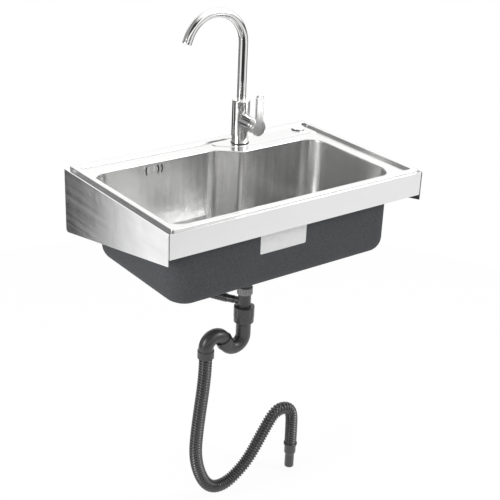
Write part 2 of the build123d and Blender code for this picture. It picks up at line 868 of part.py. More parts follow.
def drain_hose():
    x0, z0 = outlet_end[0], outlet_end[1] + hose_end_in
    points = [(x0 + dx, drain_y, z0 + dz) for dx, dz in hose_route]
    wire = route_wire(points, "drain_hose", 2 * hose_r)
    return ribbed_tube(wire, hose_r, hose_valley_r, hose_bore_r, hose_pitch, (0, 1, 0))


def hose_end_connector():
    x = outlet_end[0] + hose_route[-1][0]
    z = outlet_end[1] + hose_end_in + hose_route[-1][1]
    web_z = z - end_web_t
    body_end = web_z - end_body_l
    spigot_top = body_end - end_taper_l
    spigot_end = spigot_top - end_spigot_l
    socket_r = hose_r + hose_socket_gap
    sleeve_r = end_bore_r + end_sleeve_wall
    return turned((
        (end_bore_r, z + end_sleeve_l), (sleeve_r, z + end_sleeve_l), (sleeve_r, z), (socket_r, z),
        (socket_r, web_z + end_nut_l), (end_nut_r, web_z + end_nut_l), (end_nut_r, web_z),
        (end_body_r, web_z),
        (end_body_r, body_end), (end_spigot_r, spigot_top), (end_spigot_r, spigot_end),
        (end_bore_r, spigot_end)), x, drain_y)


over_back = bowl_back + sheet_t
over_house_y = over_back + over_seal_t
over_mid_y = over_house_y + over_house_depth / 2
over_hose_top = over_z - over_house_h / 2 - fit_gap


def over_block(grow, y0, y1):
    """Rounded block round the overflow's centre, from one depth to another."""
    face = RectangleRounded(over_house_w + 2 * grow, over_house_h + 2 * grow, over_house_corner_r + grow)
    return Pos(over_x, y1, over_z) * extrude(Plane.XZ * face, amount=y1 - y0)


def overflow_gasket():
    seal = over_block(0, over_back, over_house_y)
    return seal - over_block(-over_seal_band, over_back - 1, over_house_y + 1)


def overflow_elbow():
    house_end = over_house_y + over_house_depth
    spigot_end = over_hose_top - over_hose_in
    cup = over_block(0, over_house_y, house_end)
    cup += disc(over_spigot_r, spigot_end, over_z, over_x, over_mid_y)
    cup -= over_block(-over_wall, over_house_y - 1, house_end - over_wall)
    cup -= disc(over_bore_r, spigot_end - 1, over_z, over_x, over_mid_y)
    cup += y_rod(over_screw_r + over_wall, over_back, house_end - over_wall, over_x, over_z)
    return cup - y_rod(over_screw_r, over_back - 1, house_end - 2 * over_wall, over_x, over_z)


def overflow_screw():
    screw = y_rod(over_screw_r, bowl_back, bowl_back + over_screw_l, over_x, over_z)
    head = y_rod(over_head_r, bowl_back - over_head_t, bowl_back, over_x, over_z)
    slot = block(over_x - over_head_r, over_x + over_head_r, bowl_back - over_head_t - 1,
                 bowl_back - over_head_t / 2, over_z - screw_slot_w / 2, over_z + screw_slot_w / 2)
    return screw + head - slot


def overflow_hose():
    top = (over_x, over_mid_y, over_hose_top)
    below = (over_x, over_mid_y, over_hose_top - 3 * over_hose_r)
    near_tee = tee_place(tee_hose_start + 3 * over_hose_r)
    points = [top, below] + list(over_route) + [near_tee, tee_place(tee_hose_start)]
    wire = route_wire(points, "overflow_hose", 2 * over_hose_r)
    return ribbed_tube(wire, over_hose_r, over_hose_valley_r, over_hose_bore_r, over_hose_pitch,
                       (0.82, 0.57, 0), cuff_r, cuff_l)


# Tap levels
body_z = pad_z + base_seal_t
body_top = body_z + body_h
collar_z = body_top - collar_h
bush_z = collar_z - spout_foot_l
barrel_z = body_z + barrel_h
pivot_y = tap_y - lever_pivot
body_bore_r = body_r - body_wall
shank_top = body_z + shank_seat
shank_end = pad_under_z - shank_l


def on_tap(shape):
    return Pos(tap_x, tap_y, 0) * shape


def lever_place(shape):
    """Lever frame: X stays, the second axis points up and the third away from the wall."""
    return Pos(tap_x, pivot_y, barrel_z) * Rot(90, 0, 0) * shape


def tap_body():
    floor_top = body_z + body_floor
    body = disc(body_r, body_z, collar_z) - disc(body_bore_r, floor_top, collar_z + 1)
    seat_y = -lever_pivot + cartridge_l + carrier_back
    barrel_end = -lever_pivot - barrel_past_pivot
    barrel = y_rod(barrel_r, barrel_end, seat_y + seat_wall, 0, barrel_z)
    front_edge = barrel.edges().filter_by(GeomType.CIRCLE).sort_by(Axis.Y)[0]
    body += fillet(front_edge, barrel_edge_r)
    body -= y_rod(barrel_bore_r, barrel_end - 1, seat_y, 0, barrel_z)
    for side in (-1, 1):
        body -= y_rod(channel_r, seat_y - 1, seat_y + seat_wall + 1, side * inlet_spacing / 2, barrel_z)
        body -= disc(channel_r, shank_top - 1, floor_top + 1, side * inlet_spacing / 2)
    body -= disc(shank_r + running_play, body_z - 1, shank_top)
    return on_tap(body)


def spout_collar():
    collar = disc(body_r, collar_z, body_top)
    collar = chamfer(collar.edges().filter_by(GeomType.CIRCLE).sort_by(Axis.Z)[-1], collar_edge)
    return on_tap(collar - disc(spout_r + bush_gap, collar_z - 1, body_top + 1))


def o_ring_levels():
    step = spout_foot_l / (o_ring_count + 1)
    return [bush_z + step * (i + 1) for i in range(o_ring_count)]


def spout_bush():
    bush = ring(body_bore_r - fit_gap, spout_r + bush_gap, bush_z, collar_z)
    groove_r = spout_r + bush_gap + 2 * o_ring_r + fit_gap
    for z in o_ring_levels():
        bush -= disc(groove_r, z - o_ring_r - fit_gap, z + o_ring_r + fit_gap)
    return on_tap(bush)


def spout_o_rings():
    rings = [Pos(0, 0, z) * Torus(spout_r + bush_gap + o_ring_r, o_ring_r) for z in o_ring_levels()]
    return on_tap(Compound(children=rings))


foot_end = bush_z - fit_gap - clip_t - 2 * clip_w
spout_leg_top = body_top + spout_leg
spout_turn = math.radians(spout_sweep)


def spout_line():
    def on_arch(turn):
        return (-spout_bend_r + spout_bend_r * math.cos(turn), spout_leg_top + spout_bend_r * math.sin(turn))
    end = on_arch(spout_turn)
    way = (-math.sin(spout_turn), math.cos(spout_turn))
    tip = (end[0] + way[0] * spout_end_l, end[1] + way[1] * spout_end_l)
    points = [(p[0], 0, p[1]) for p in (on_arch(0), on_arch(spout_turn / 2), end, tip)]
    wire = Wire([Line((0, 0, foot_end), points[0]), ThreePointArc(*points[:3]), Line(points[2], points[3])])
    return wire, Plane(origin=points[3], x_dir=(0, 1, 0), z_dir=(way[0], 0, way[1]))


spout_wire, spout_tip = spout_line()


def spout_tube():
    tube = swept(spout_wire, spout_r, "spout_tube") - swept(spout_wire, spout_bore_r)
    clip_top = bush_z - fit_gap
    groove = ring(spout_r + 1, spout_r - clip_groove_depth, clip_top - clip_t, clip_top)
    return on_tap(tube - groove)


def spout_clip():
    clip_top = bush_z - fit_gap
    return on_tap(ring(spout_r + clip_w, spout_r - clip_groove_depth, clip_top - clip_t, clip_top))


def aerator_housing():
    sleeve = disc(spout_r, 0, aerator_l) + disc(spout_bore_r - running_play, -aerator_lap, 0)
    sleeve -= disc(spout_bore_r - aerator_wall, -aerator_lap - 1, aerator_l + 1)
    return on_tap(spout_tip * sleeve)


def aerator_screen():
    r = spout_bore_r - aerator_wall - running_play
    grid = disc(r, aerator_l - 2 * aerator_grid_t, aerator_l - aerator_grid_t)
    for share, count in ((0.35, aerator_hole_count // 2), (0.75, aerator_hole_count)):
        for hole in PolarLocations(share * r, count):
            drill = Pos(0, 0, aerator_l - 1.5 * aerator_grid_t) * hole
            grid -= drill * Cylinder(aerator_hole_r, 2 * aerator_grid_t)
    return on_tap(spout_tip * grid)


def cartridge():
    back = -carrier_back - cartridge_l
    body = disc(cartridge_r, back, -carrier_back)
    body -= disc(carrier_r + 2 * fit_gap, -carrier_back - carrier_l - 2 * fit_gap, 0)
    for side in (-1, 1):
        body -= disc(channel_r, back - 1, back + cartridge_l / 2, side * inlet_spacing / 2)
    return lever_place(body)


def cartridge_nut():
    nut_r = barrel_bore_r - fit_gap / 2
    nut = ring(nut_r, nut_r - cartridge_nut_wall, -carrier_back, cartridge_nut_l - carrier_back)
    return lever_place(nut)


def bonnet_dome():
    dome = Sphere(dome_r) - Sphere(dome_r - dome_wall)
    dome &= disc(2 * dome_r, barrel_past_pivot, 2 * dome_r)
    return lever_place(dome - Rot(dome_mouth_tilt, 0, 0) * disc(dome_mouth_r, 0, 2 * dome_r))


def x_rod(r, x0, x1):
    return Pos((x0 + x1) / 2, 0, 0) * Rot(0, 90, 0) * Cylinder(r, x1 - x0)


def cartridge_carrier():
    carrier = disc(carrier_r, -carrier_back - carrier_l, -carrier_back)
    for side in (-1, 1):
        low, high = sorted((side * ear_in, side * ear_out))
        carrier += block(low, high, -ear_half, ear_half, -carrier_back, ear_half)
    return lever_place(carrier - x_rod(pin_r, -ear_out - 1, ear_out + 1))


def lever_pin():
    return lever_place(x_rod(pin_r, -ear_out, ear_out))


def lever_stem():
    stem = disc(stem_r, -stem_tail, stem_front)
    return lever_place(stem - x_rod(pin_r + running_play, -stem_r - 1, stem_r + 1))


def lever_outline():
    """Round hub that flares in hollow curves into a narrower blade with a round tip."""
    blade_l = paddle_h + paddle_w / 2
    outline = Circle(hub_r) + Pos(0, paddle_h - blade_l / 2) * Rot(0, 0, 90) * SlotOverall(blade_l, paddle_w)
    waist = [v for v in outline.vertices() if abs(math.hypot(v.X, v.Y) - hub_r) < same_place and v.Y > 0]
    return fillet(waist, paddle_flare_r)


def lever_handle():
    """Paddle whose blade and hub share one front face, on a hub that is chamfered behind."""
    blade = extrude(Pos(0, 0, hub_end - paddle_t) * lever_outline(), amount=paddle_t)
    hub = disc(hub_r, hub_start, hub_end)
    hub = chamfer(hub.edges().filter_by(GeomType.CIRCLE).sort_by(Axis.Z)[0], hub_back_edge)
    handle = hub + blade
    handle = fillet(handle.faces().sort_by(Axis.Z)[-1].outer_wire().edges(), hub_edge_r)
    handle -= Sphere(dome_r + dome_gap)
    handle -= disc(stem_r, 0, stem_front)
    down = Pos(0, 0, screw_out) * Rot(90, 0, 0)
    handle -= down * disc(set_screw_r, 0, hub_r + 1)
    return lever_place(handle - down * disc(plug_r, hub_r - 2 * plug_t, hub_r + 1))


def lever_set_screw():
    down = Pos(0, 0, screw_out) * Rot(90, 0, 0)
    return lever_place(down * disc(set_screw_r, stem_r, stem_r + set_screw_l))


def index_plug():
    down = Pos(0, 0, screw_out) * Rot(90, 0, 0)
    return lever_place(down * disc(plug_r, hub_r - 2 * plug_t, hub_r - plug_t))


def tap_shank():
    shank = disc(shank_r, shank_end, shank_top)
    for side in (-1, 1):
        shank -= disc(channel_r, shank_end - 1, shank_top + 1, side * inlet_spacing / 2)
        shank -= disc(inlet_r, shank_end - 1, shank_end + inlet_depth, side * inlet_spacing / 2)
    return on_tap(shank)


def shank_nut():
    top = pad_under_z - rubber_washer_t - steel_washer_t
    outline = Pos(0, 0, top - shank_nut_h) * RegularPolygon(shank_nut_r, nut_flats)
    hexagon = extrude(outline, amount=shank_nut_h)
    return on_tap(hexagon - disc(shank_r + running_play, top - shank_nut_h - 1, top + 1))


def hole_cap():
    seat = pad_z + gasket_t
    top = disc(cap_r, seat, seat + cap_h)
    top = fillet(top.edges().filter_by(GeomType.CIRCLE).sort_by(Axis.Z)[-1], cap_h / 3)
    return Pos(cap_x, cap_y, 0) * (top + disc(cap_stud_r, pad_under_z - cap_stud_l, seat))


def cap_nut():
    low = pad_under_z - cap_nut_h
    nut = extrude(Pos(0, 0, low) * RegularPolygon(cap_nut_r, cap_nut_flats), amount=cap_nut_h)
    return Pos(cap_x, cap_y, 0) * (nut - disc(cap_stud_r + running_play, low - 1, pad_under_z + 1))


if __name__ == "__main__":
    left = left_panel()
    save(left, "left_side_panel")
    save(mirror_x(left), "right_side_panel")
    save(front_apron(), "front_apron")
    save(rear_rail(), "rear_rail")
    save(sink_shell(), "sink_shell")
    save(bowl_coating(), "bowl_coating")
    save(product_label(), "product_label")
    save(strainer_flange(), "strainer_flange")
    save(ring(flange_r, cup_r + 1, recess_z, recess_z + seal_t, drain_x, drain_y), "strainer_gasket")
    save(ring(recess_r, drain_hole_r + 1, housing_top, pan_under_z, drain_x, drain_y), "under_gasket")
    save(drain_housing(), "drain_housing")
    save(centre_screw(), "centre_screw")
    save(basket(), "strainer_basket")
    save(basket_knob(), "basket_knob")
    stopper_low = basket_floor_z - stopper_t
    save(ring(stopper_r, post_r, stopper_low, basket_floor_z, drain_x, drain_y), "basket_stopper")
    save(outlet_nut(), "outlet_nut")
    save(ring(tail_flange_r, neck_bore_r, tail_top, neck_end, drain_x, drain_y), "outlet_washer")
    save(tail_tee(), "tail_tee")
    save(trap_nut(), "trap_nut")
    save(ring(trap_thread_r, tail_r, socket_top, socket_top + trap_seal_h, drain_x, drain_y), "trap_seal")
    save(trap_lower_bend(), "trap_lower_bend")
    save(trap_upper_bend(), "trap_upper_bend")
    save(drain_hose(), "drain_hose")
    save(hose_end_connector(), "hose_end_connector")
    save(overflow_gasket(), "overflow_gasket")
    save(overflow_elbow(), "overflow_elbow")
    save(overflow_screw(), "overflow_screw")
    save(overflow_hose(), "overflow_hose")
    save(ring(base_seal_r, tap_hole_r, pad_z, body_z, tap_x, tap_y), "base_gasket")
    save(tap_body(), "tap_body")
    save(spout_collar(), "spout_collar")
    save(spout_bush(), "spout_bush")
    save(spout_o_rings(), "spout_o_rings")
    save(spout_tube(), "spout_tube")
    save(spout_clip(), "spout_clip")
    save(aerator_housing(), "aerator_housing")
    save(aerator_screen(), "aerator_screen")
    save(cartridge(), "cartridge")
    save(cartridge_nut(), "cartridge_nut")
    save(bonnet_dome(), "bonnet_dome")
    save(cartridge_carrier(), "cartridge_carrier")
    save(lever_pin(), "lever_pin")
    save(lever_stem(), "lever_stem")
    save(lever_handle(), "lever_handle")
    save(lever_set_screw(), "lever_set_screw")
    save(index_plug(), "index_plug")
    save(tap_shank(), "tap_shank")
    washer_top = pad_under_z - rubber_washer_t
    washer_low = washer_top - steel_washer_t
    save(ring(washer_r, shank_r + fit_gap, washer_top, pad_under_z, tap_x, tap_y), "rubber_washer")
    save(ring(washer_r, shank_r + fit_gap, washer_low, washer_top, tap_x, tap_y), "steel_washer")
    save(shank_nut(), "shank_nut")
    save(hole_cap(), "hole_cap")
    save(ring(cap_r, cap_stud_r + 1, pad_z, pad_z + gasket_t, cap_x, cap_y), "cap_gasket")
    save(cap_nut(), "cap_nut")
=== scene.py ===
"""Wall-mounted sink with its tap, waste, trap and hoses: finishes, dressed pieces and studio."""

import json
import math

import bmesh
import bpy
from mathutils import Matrix, Vector

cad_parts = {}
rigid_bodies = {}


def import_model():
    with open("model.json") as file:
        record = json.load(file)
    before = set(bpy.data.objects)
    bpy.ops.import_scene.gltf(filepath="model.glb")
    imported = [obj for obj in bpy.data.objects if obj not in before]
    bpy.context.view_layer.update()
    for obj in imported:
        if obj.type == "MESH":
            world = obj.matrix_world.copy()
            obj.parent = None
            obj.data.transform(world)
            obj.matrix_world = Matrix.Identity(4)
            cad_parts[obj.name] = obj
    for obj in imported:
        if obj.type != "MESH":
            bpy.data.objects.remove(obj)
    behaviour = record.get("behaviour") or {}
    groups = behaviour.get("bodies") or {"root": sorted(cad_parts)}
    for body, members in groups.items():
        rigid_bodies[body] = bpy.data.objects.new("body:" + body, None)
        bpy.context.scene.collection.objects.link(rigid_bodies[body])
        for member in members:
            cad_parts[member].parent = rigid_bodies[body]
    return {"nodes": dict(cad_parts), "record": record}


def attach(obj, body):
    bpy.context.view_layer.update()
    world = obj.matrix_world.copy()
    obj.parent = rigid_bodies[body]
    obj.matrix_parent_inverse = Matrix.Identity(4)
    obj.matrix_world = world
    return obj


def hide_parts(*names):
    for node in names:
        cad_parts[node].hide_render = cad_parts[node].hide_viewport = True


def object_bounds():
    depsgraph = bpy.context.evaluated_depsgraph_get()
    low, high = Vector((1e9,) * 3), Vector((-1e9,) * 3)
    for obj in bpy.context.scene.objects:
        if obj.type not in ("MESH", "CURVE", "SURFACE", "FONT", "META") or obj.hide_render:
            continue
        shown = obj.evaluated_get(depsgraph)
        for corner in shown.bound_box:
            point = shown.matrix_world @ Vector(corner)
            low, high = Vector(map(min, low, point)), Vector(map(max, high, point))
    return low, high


bl_info = {
    "name": "Wall-mounted sink",
    "version": (1, 0, 0),
    "blender": (4, 5, 0),
    "location": "3D View > Sidebar > Sink",
    "description": "Dresses the sink, its tap, waste and hoses, and sets the studio",
    "category": "Object",
}

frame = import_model()
CAD_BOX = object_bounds()
MM = 0.001
X, Y, Z = range(3)
SLOTS = {part["node"]: part["material_slot"] for part in frame["record"]["subparts"]}
COLOURS = {row["slot"]: row["base_color"] for row in frame["record"]["materials"]}
BODIES = {node: body for body, nodes in frame["record"]["behaviour"]["bodies"].items()
          for node in nodes}

# Waste hose: its top centre inside the trap's outlet, then X and Z steps in millimetres
HOSE_TOP = (-128.25, -256.0, -338.5)
HOSE_STEPS = (
    (0, 0), (0, -48), (-5, -104), (-13, -163), (-20, -221), (-24, -278), (-16, -328),
    (5, -380), (36, -408), (77, -408), (121, -380), (149, -351), (186, -294), (215, -253),
    (238, -243), (262, -249), (278, -269), (280, -318), (280, -366),
)
# Overflow hose in millimetres: its top in the elbow, a point straight below and its way down
OVERFLOW_TOP = (-156.0, -53.0, 46.8)
OVERFLOW_BEND = (-156.0, -53.0, 13.8)
OVERFLOW_POINTS = (
    (-156, -52, -43), (-154, -51, -98), (-147, -61, -150), (-132, -86, -196), (-107, -123, -227),
)
# Its end on the tee: the tee's centre, the branch's angle from X, where the hose ends on the branch
# and how far it runs straight there
TEE_CENTRE = (-20.0, -256.0, -236.5)
TEE_ANGLE = 124.5
TEE_REACH = 26.2
TEE_STRAIGHT = 33.0

# Ribs of both hoses: rings along one rib, sides of a ring, and how far from the rib's middle its
# flat top ends and its foot begins, as shares of the pitch
RINGS_PER_RIB = 8.0
RING_SIDES = 36
RIB_TOP_END = 0.18
RIB_FOOT = 0.34

# Rounded edges: points closer than the gap are joined, faces flatter than the angle are merged,
# edges sharper than the next angle are rounded in that many steps, and creases stay above the last
WELD_GAP = 0.000002
FLAT_ANGLE = math.radians(0.4)
EDGE_ANGLE = math.radians(38.0)
EDGE_STEPS = 2
CREASE_ANGLE = math.radians(50.0)
LABEL_ROUND = 0.1 * MM

# Cards round the studio that metal mirrors: middle and width in compass degrees from the wall,
# clockwise from above, lowest and highest height of the view's direction, depth, and width of the
# soft edge in degrees. A depth above zero is a dark card, and one below zero a bright card.
STUDIO_CARDS = (
    (-154.0, 78.0, -0.9, 0.02, 0.96, 5.0),
    (-148.0, 60.0, 0.35, 0.8, 0.95, 12.0),
    (-53.0, 32.0, -1.1, -0.1, 0.92, 4.0),
    (-33.2, 7.0, -1.1, -0.1, -0.35, 2.4),
    (155.0, 14.0, -1.1, -0.1, 0.35, 16.0),
    (5.2, 70.0, -1.1, -0.1, 0.97, 3.4),
    (75.0, 70.0, -1.1, -0.1, 0.74, 4.0),
    (-75.0, 120.0, 0.1, 0.93, 0.72, 24.0),
    (-9.0, 46.0, 0.5, 0.72, 0.5, 10.0),
    (0.0, 400.0, -0.1, 0.08, 0.9, 8.0),
)
# Half the soft edge at a card's top and bottom, the height at which the shine above the horizon is
# full, and the least that is left of it on a dark card
CARD_EDGE = 0.06
HORIZON_RISE = 0.25
DARKEST_SHINE = 0.03
WHITE = (1.0, 1.0, 1.0, 1.0)

SENSOR_WIDTH = 36.0
LAMP_WIDTH = 1.3
# Floor disc: its sides, its middle's Y, and the strength and share of the plain white that the
# camera and mirroring metal see in place of its lit surface
FLOOR_SIDES = 96
FLOOR_MIDDLE = -0.3
FLOOR_GLOW = 1.04
FLOOR_GLOW_SHARE = 0.86


class StageSettings(bpy.types.PropertyGroup):
    """Camera, studio light and floor."""

    camera_place: bpy.props.FloatVectorProperty(
        name="Camera place", description="Where the camera stands",
        subtype="TRANSLATION", unit="LENGTH", default=(-1.42283, -2.09223, 0.95055))
    camera_turn: bpy.props.FloatProperty(
        name="Camera turn", description="Compass angle of the view",
        subtype="ANGLE", default=math.radians(-37.5745))
    camera_tilt: bpy.props.FloatProperty(
        name="Camera tilt", description="How far the camera looks down",
        subtype="ANGLE", default=math.radians(24.5008))
    camera_roll: bpy.props.FloatProperty(
        name="Camera roll", description="Turn of the picture about the line of sight",
        subtype="ANGLE", default=math.radians(2.4939))
    lens: bpy.props.FloatProperty(
        name="Lens", description="Focal length for a 36 mm wide sensor", default=78.7, min=10)
    floor_drop: bpy.props.FloatProperty(
        name="Floor drop", description="Gap from the lowest piece to the floor",
        unit="LENGTH", default=0.012)
    floor_radius: bpy.props.FloatProperty(
        name="Floor radius", description="Half the floor's width", unit="LENGTH", default=1.7)
    floor_colour: bpy.props.FloatVectorProperty(
        name="Floor colour", description="Colour of the floor",
        subtype="COLOR", default=(0.9, 0.9, 0.9))
    sky_level: bpy.props.FloatProperty(
        name="Sky level", description="Strength of the even studio light", default=0.62, min=0)
    low_shine: bpy.props.FloatProperty(
        name="Low shine", description="Brightness that metal shows below the horizon",
        default=1.0, min=0)
    high_shine: bpy.props.FloatProperty(
        name="High shine", description="Brightness that metal shows above the horizon",
        default=1.3, min=0)
    key_power: bpy.props.FloatProperty(
        name="Key power", description="Watts of the large lamp at the front right",
        default=24.0, min=0)
    side_power: bpy.props.FloatProperty(
        name="Side power", description="Watts of the lamp at the left", default=28.0, min=0)


class SteelSettings(bpy.types.PropertyGroup):
    """Brushing of the steel pieces."""

    line_pitch: bpy.props.FloatProperty(
        name="Line pitch", description="Width of a fine brush line",
        unit="LENGTH", default=0.0005, min=0.0001)
    line_stretch: bpy.props.FloatProperty(
        name="Line stretch", description="Length of a brush line in widths", default=90.0, min=1)
    line_depth: bpy.props.FloatProperty(
        name="Line depth", description="Height of the brush lines",
        unit="LENGTH", default=0.00002, precision=6)
    wobble_size: bpy.props.FloatProperty(
        name="Wobble size", description="Width of the sheet's soft waves",
        unit="LENGTH", default=0.05)


class EdgeSettings(bpy.types.PropertyGroup):
    """Rounding of the pieces' edges."""

    sheet_round: bpy.props.FloatProperty(
        name="Sheet edge", description="Edge rounding of folded sheet",
        unit="LENGTH", default=0.0004)
    cast_round: bpy.props.FloatProperty(
        name="Machined edge", description="Edge rounding of tap and waste pieces",
        unit="LENGTH", default=0.0005)
    plastic_round: bpy.props.FloatProperty(
        name="Plastic edge", description="Edge rounding of moulded pieces",
        unit="LENGTH", default=0.0008)


class HoseSettings(bpy.types.PropertyGroup):
    """Ribs of the two corrugated hoses."""

    ridge: bpy.props.FloatProperty(
        name="Ridge radius", description="Waste hose over its ribs", unit="LENGTH", default=0.016)
    valley: bpy.props.FloatProperty(
        name="Valley radius", description="Waste hose between its ribs",
        unit="LENGTH", default=0.0131)
    bore: bpy.props.FloatProperty(
        name="Bore radius", description="Inside of the waste hose", unit="LENGTH", default=0.012)
    pitch: bpy.props.FloatProperty(
        name="Rib pitch", description="Step from rib to rib on the waste hose",
        unit="LENGTH", default=0.0073)
    small_ridge: bpy.props.FloatProperty(
        name="Overflow ridge", description="Overflow hose over its ribs",
        unit="LENGTH", default=0.0109)
    small_valley: bpy.props.FloatProperty(
        name="Overflow valley", description="Overflow hose between its ribs",
        unit="LENGTH", default=0.0095)
    small_bore: bpy.props.FloatProperty(
        name="Overflow bore", description="Inside of the overflow hose",
        unit="LENGTH", default=0.0085)
    small_pitch: bpy.props.FloatProperty(
        name="Overflow rib pitch", description="Step from rib to rib on the overflow hose",
        unit="LENGTH", default=0.0042)
    small_cuff: bpy.props.FloatProperty(
        name="Overflow cuff", description="Smooth length at each end of the overflow hose",
        unit="LENGTH", default=0.016)


class Term:
    """A node's output that takes part in sums written as Python expressions."""

    def __init__(self, shader, socket):
        self.shader = shader
        self.socket = socket

    def __add__(self, other):
        return self.shader.math("ADD", self, other)

    def __sub__(self, other):
        return self.shader.math("SUBTRACT", self, other)

    def __rsub__(self, other):
        return self.shader.math("SUBTRACT", other, self)

    def __mul__(self, other):
        return self.shader.math("MULTIPLY", self, other)

    __radd__ = __add__
    __rmul__ = __mul__


class Shader:
    """Node tree of a material or world, filled one node at a time."""

    def __init__(self, owner):
        owner.use_nodes = True
        self.tree = owner.node_tree
        self.tree.nodes.clear()

    def add(self, kind, settings=None, inputs=None, output=0):
        """New node with its settings and its sockets' values or links, and one of its outputs."""
        node = self.tree.nodes.new(kind)
        for name, value in (settings or {}).items():
            if name == "stops":
                self.set_stops(node.color_ramp, value)
            else:
                setattr(node, name, value)
        for key, value in (inputs or {}).items():
            if isinstance(value, Term):
                self.tree.links.new(value.socket, node.inputs[key])
            else:
                node.inputs[key].default_value = value
        return Term(self, node.outputs[output]) if node.outputs else None

    def set_stops(self, ramp, stops):
        while len(ramp.elements) < len(stops):
            ramp.elements.new(1.0)
        for element, (position, shade) in zip(ramp.elements, stops):
            element.position = position
            element.color = (shade, shade, shade, 1.0)

    def math(self, operation, *values):
        return self.add("ShaderNodeMath", {"operation": operation}, dict(enumerate(values)))

    def mix(self, factor, first, second):
        return self.add("ShaderNodeMix", {"data_type": "RGBA"}, {0: factor, 6: first, 7: second},
                        output=2)

    def ramp(self, factor, stops):
        return self.add("ShaderNodeValToRGB", {"stops": stops}, {"Fac": factor})

    def ease(self, value, low, high, start=0.0, end=1.0):
        """Smooth change from start to end while the value goes from low to high."""
        return self.add("ShaderNodeMapRange", {"interpolation_type": "SMOOTHSTEP"},
                        {"Value": value, "From Min": low, "From Max": high,
                         "To Min": start, "To Max": end})

    def part(self, vector, axis):
        return self.add("ShaderNodeSeparateXYZ", None, {0: vector}, output=axis)

    def ray(self, kind):
        return self.add("ShaderNodeLightPath", output=f"Is {kind} Ray")

    def place(self, stretch=(1.0, 1.0, 1.0)):
        """Object coordinates, stretched."""
        at = self.add("ShaderNodeTexCoord", output="Object")
        return self.add("ShaderNodeMapping", None, {"Vector": at, "Scale": stretch})

    def noise(self, at, scale=1.0, detail=2.0, roughness=0.5):
        return self.add("ShaderNodeTexNoise", None,
                        {"Vector": at, "Scale": scale, "Detail": detail, "Roughness": roughness})

    def bump(self, height, distance, under=None):
        """Normal that a height raises, on top of another normal where one is given."""
        inputs = {"Height": height, "Distance": distance}
        if under is not None:
            inputs["Normal"] = under
        return self.add("ShaderNodeBump", None, inputs)

    def finish(self, inputs):
        """Principled surface on the material's output."""
        surface = self.add("ShaderNodeBsdfPrincipled", None, inputs)
        self.add("ShaderNodeOutputMaterial", None, {"Surface": surface})


def shade(colour, share=1.0):
    return tuple(min(1.0, c * share) for c in colour) + (1.0,)


def swing(pattern, share):
    """A pattern's change about its middle."""
    return (pattern - 0.5) * share


def brushed_steel(name, colour, roughness, along, wobble, contrast=0.05, walls=None, ripple=0.0,
                  spread=0.0):
    """Brushed sheet: fine lines along one axis, broader soft streaks and the sheet's slow waves.

    Where an axis is given for the walls, steep faces are brushed along it and have level ripples.
    """
    steel = bpy.context.scene.sink_steel
    material = bpy.data.materials.new(name)
    s = Shader(material)

    def brushing(axis):
        fine = [1.0 / steel.line_pitch] * 3
        fine[axis] /= steel.line_stretch
        broad = [90.0] * 3
        broad[axis] = 3.0
        lines = s.noise(s.place(fine), detail=3.0, roughness=0.6)
        streaks = s.noise(s.place(broad), detail=3.0, roughness=0.55)
        return lines * 0.5 + streaks * 0.5

    tone = brushing(along)
    waves = s.noise(s.place(), scale=1.0 / steel.wobble_size, roughness=0.4)
    relief = s.bump(waves, wobble)
    if walls is not None:
        facing = s.part(s.add("ShaderNodeTexCoord", output="Normal"), Z)
        flat = s.ease(s.math("ABSOLUTE", facing), low=0.35, high=0.8)
        tone = tone * flat + brushing(walls) * (1 - flat)
        ripples = s.noise(s.place((14.0, 14.0, 300.0)))
        relief = s.bump(ripples * (1 - flat), ripple, under=relief)
    s.finish({
        "Base Color": s.mix(tone, shade(colour, 1.0 - 2.0 * contrast), shade(colour)),
        "Metallic": 1.0,
        "Roughness": swing(tone, 0.18) + swing(waves, 0.06) + roughness,
        "Normal": s.bump(tone, steel.line_depth, under=relief),
        "Anisotropic": spread,
        "Anisotropic Rotation": 0.25,
    })
    return material


def turned_steel(name, colour, roughness):
    """Fine tap finish: even tiny lines round and along the piece, with faint smears."""
    material = bpy.data.materials.new(name)
    s = Shader(material)
    rings = s.noise(s.place((60.0, 60.0, 5200.0)))
    smears = s.noise(s.place(), scale=42.0, detail=3.0, roughness=0.6)
    s.finish({
        "Base Color": s.mix(smears, shade(colour, 0.95), shade(colour, 1.04)),
        "Metallic": 1.0,
        "Roughness": swing(rings, 0.05) + swing(smears, 0.05) + roughness,
        "Normal": s.bump(rings, 0.000004),
    })
    return material


def moulded(name, colour, roughness, grain=900.0, depth=0.00003, specular=0.5):
    """Moulded plastic or rubber: a fine pebbled skin with slow shade changes."""
    material = bpy.data.materials.new(name)
    s = Shader(material)
    skin = s.noise(s.place(), scale=grain)
    clouds = s.noise(s.place(), scale=28.0, detail=3.0, roughness=0.55)
    s.finish({
        "Base Color": s.mix(clouds, shade(colour, 0.82), shade(colour, 1.2)),
        "Roughness": swing(clouds, 0.12) + swing(skin, 0.08) + roughness,
        "Specular IOR Level": specular,
        "Normal": s.bump(skin, depth),
    })
    return material


def sprayed_coating(name, colour):
    """Sprayed sound-deadening skin: dense grains of two sizes, with a painted highlight on their
    raised tops.
    """
    material = bpy.data.materials.new(name)
    s = Shader(material)
    at = s.place()
    grains = s.noise(at, scale=430.0, detail=3.0, roughness=0.6)
    drops = s.add("ShaderNodeTexVoronoi", {"feature": "SMOOTH_F1"}, {"Vector": at, "Scale": 240.0})
    clouds = s.noise(at, scale=9.0, detail=3.0)
    # Painted highlight: where the grains' bump is highest, the base colour is lifted towards a
    # lighter shade of the coating
    painted_grain_highlight = s.ramp(grains, ((0.45, 0.0), (0.7, 1.0)))
    base = s.mix(clouds, shade(colour, 0.7), shade(colour, 0.95))
    s.finish({
        "Base Color": s.mix(painted_grain_highlight * 0.42, base, shade(colour, 1.9)),
        "Roughness": 0.72 + swing(clouds, 0.1),
        "Specular IOR Level": 0.22,
        "Normal": s.bump(grains * 0.6 + (1 - drops) * 0.4, 0.0004),
    })
    return material


